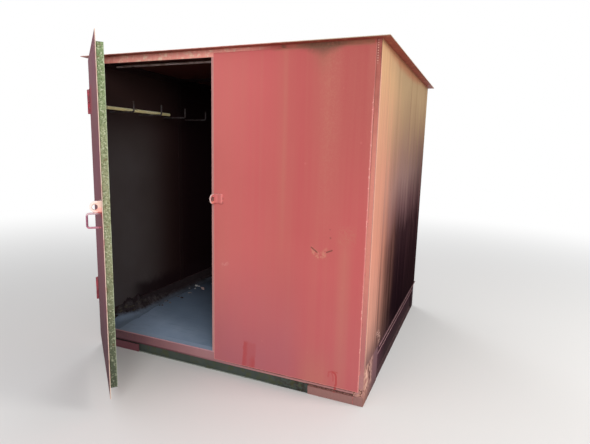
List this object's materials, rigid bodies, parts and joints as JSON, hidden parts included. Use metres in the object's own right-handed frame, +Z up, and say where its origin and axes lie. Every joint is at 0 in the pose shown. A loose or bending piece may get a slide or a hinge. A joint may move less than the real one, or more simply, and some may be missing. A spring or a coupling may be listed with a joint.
{
  "type": "portable site cabin",
  "caption": "Box-shaped portable steel site cabin with a fixed front panel, a hinged door standing open, padlock eyes and a flat overhanging roof.",
  "frame": {"origin": "on the ground under the middle of the cabin's body, on the underside of the middle floor bearer", "axes": "+Z up, -Y towards the front with the door, +X to the right as seen from the front"},
  "size_m": [2.132, 2.7625, 2.112],
  "materials": {
    "panel_paint": "weathered satin paint, faded and dusty",
    "frame_paint": "weathered satin paint, worn at the edges",
    "wall_paint": "sun-bleached paint with rust and dust streaks",
    "base_paint": "dirty paint with rust",
    "under_paint": "old matt paint under dirt",
    "roof_paint": "matt paint, dusty on top",
    "inner_paint": "dull paint, dusty",
    "floor_steel": "worn paint under dust",
    "door_paint": "dull faded paint",
    "door_frame_paint": "old pale paint, speckled with rust",
    "fitting_paint": "brushed-on paint",
    "hook_steel": "dull dark steel",
    "rail_paint": "worn paint"
  },
  "bodies": {
    "cabin": {"base_rail_left": "base_paint", "base_rail_right": "base_paint", "base_rail_rear": "base_paint", "base_rail_front": "under_paint", "mid_bearer": "under_paint", "floor_joists": "under_paint", "foot_plates_front": "frame_paint", "foot_plates_side": "wall_paint", "floor_plate": "floor_steel", "front_sill": "frame_paint", "front_lintel": "frame_paint", "post_front_left": "frame_paint", "post_front_right": "frame_paint", "post_rear_left": "inner_paint", "post_rear_right": "inner_paint", "top_rail_left": "inner_paint", "top_rail_right": "inner_paint", "top_rail_rear": "inner_paint", "wall_ledge_left": "base_paint", "wall_ledge_right": "base_paint", "wall_ledge_rear": "base_paint", "left_wall": "wall_paint", "right_wall": "wall_paint", "rear_wall": "wall_paint", "seam_straps": "inner_paint", "fixed_panel": "panel_paint", "mullion": "frame_paint", "panel_lock_eye": "fitting_paint", "roof_sheet": "roof_paint", "roof_purlins": "roof_paint", "tie_bar": "inner_paint", "upper_hinge_post_half": "fitting_paint", "lower_hinge_post_half": "fitting_paint", "wall_hooks": "hook_steel", "hanging_rail": "rail_paint"},
    "door": {"door_sheet": "door_paint", "door_stile_hinge": "door_frame_paint", "door_stile_free": "door_frame_paint", "door_rail_top": "door_frame_paint", "door_rail_middle": "door_frame_paint", "door_rail_bottom": "door_frame_paint", "door_lock_eye": "fitting_paint", "door_handle": "fitting_paint", "upper_hinge_door_half": "fitting_paint", "lower_hinge_door_half": "fitting_paint"}
  },
  "joints": [
    {"name": "door_hinge", "type": "hinge", "parent": "cabin", "child": "door", "pos_m": [-1.036, -1.012, 1.1], "axis": [0, 0, -1], "range_deg": [-41.2, 222.8]}
  ]
}
